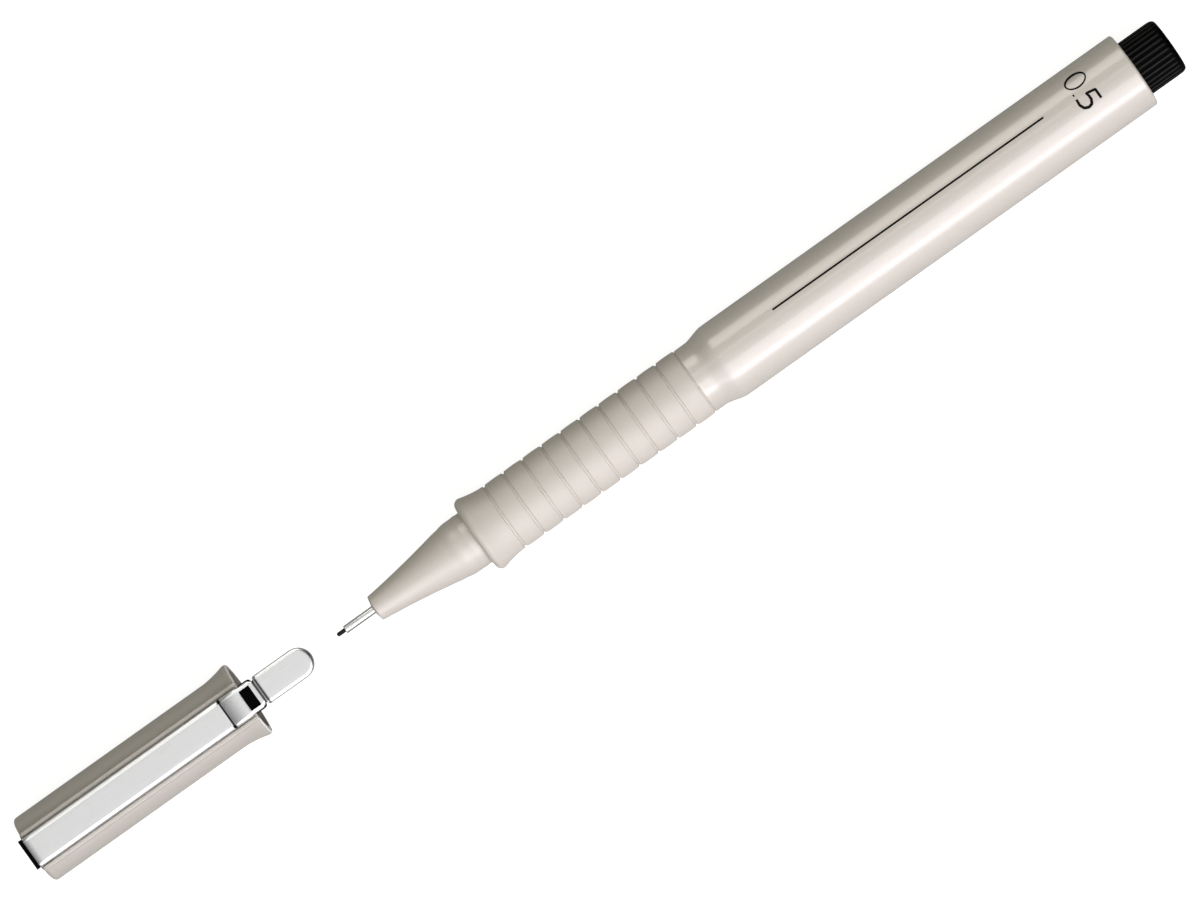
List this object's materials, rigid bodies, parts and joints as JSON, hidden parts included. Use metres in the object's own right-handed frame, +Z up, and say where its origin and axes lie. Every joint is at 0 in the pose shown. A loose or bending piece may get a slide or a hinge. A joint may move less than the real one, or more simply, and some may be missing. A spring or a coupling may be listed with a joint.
{
  "type": "drawing pen",
  "caption": "Fibre-tip drawing pen with a ribbed grip, steel needle tube and knurled rear plug; its short cap with a pressed steel clip lies pulled off in line with the nib.",
  "frame": {"origin": "middle of the outer box at the level of the table that the pen and the cap lie on", "axes": "+X along the pen's axis from the cap towards the rear plug, +Z up through the clip"},
  "size_m": [0.1748, 0.0104, 0.0117],
  "materials": {
    "nib_fibre": "matte",
    "tube_steel": "bright",
    "natural_plastic": "satin",
    "pearl_plastic": "pearl gloss",
    "matte_pearl_plastic": "matte",
    "cap_plastic": "satin pearl",
    "black_plastic": "satin",
    "inked_fibre": "matte",
    "clear_film": "gloss",
    "clip_steel": "bright satin"
  },
  "bodies": {
    "pen": {"nib": "nib_fibre", "needle_tube": "tube_steel", "nib_holder": "natural_plastic", "nose_cone": "pearl_plastic", "grip_sleeve": "matte_pearl_plastic", "barrel": "pearl_plastic", "rear_plug": "black_plastic", "ink_reservoir": "inked_fibre", "reservoir_film": "clear_film", "feed_wick": "inked_fibre"},
    "cap": {"cap_shell": "cap_plastic", "cap_inner_seal": "natural_plastic", "colour_bar": "black_plastic"},
    "clip": {"clip": "clip_steel"}
  },
  "joints": [
    {"name": "cap_slide", "type": "slide", "parent": "pen", "child": "cap", "axis": [1, 0, 0], "range_m": [0, 0.0348]},
    {"name": "clip_flex", "type": "hinge", "parent": "cap", "child": "clip", "pos_m": [-0.08589, 0, 0.01011], "axis": [0, -1, 0], "range_deg": [0, 3], "stiffness_Nm_per_rad": 1.5}
  ]
}
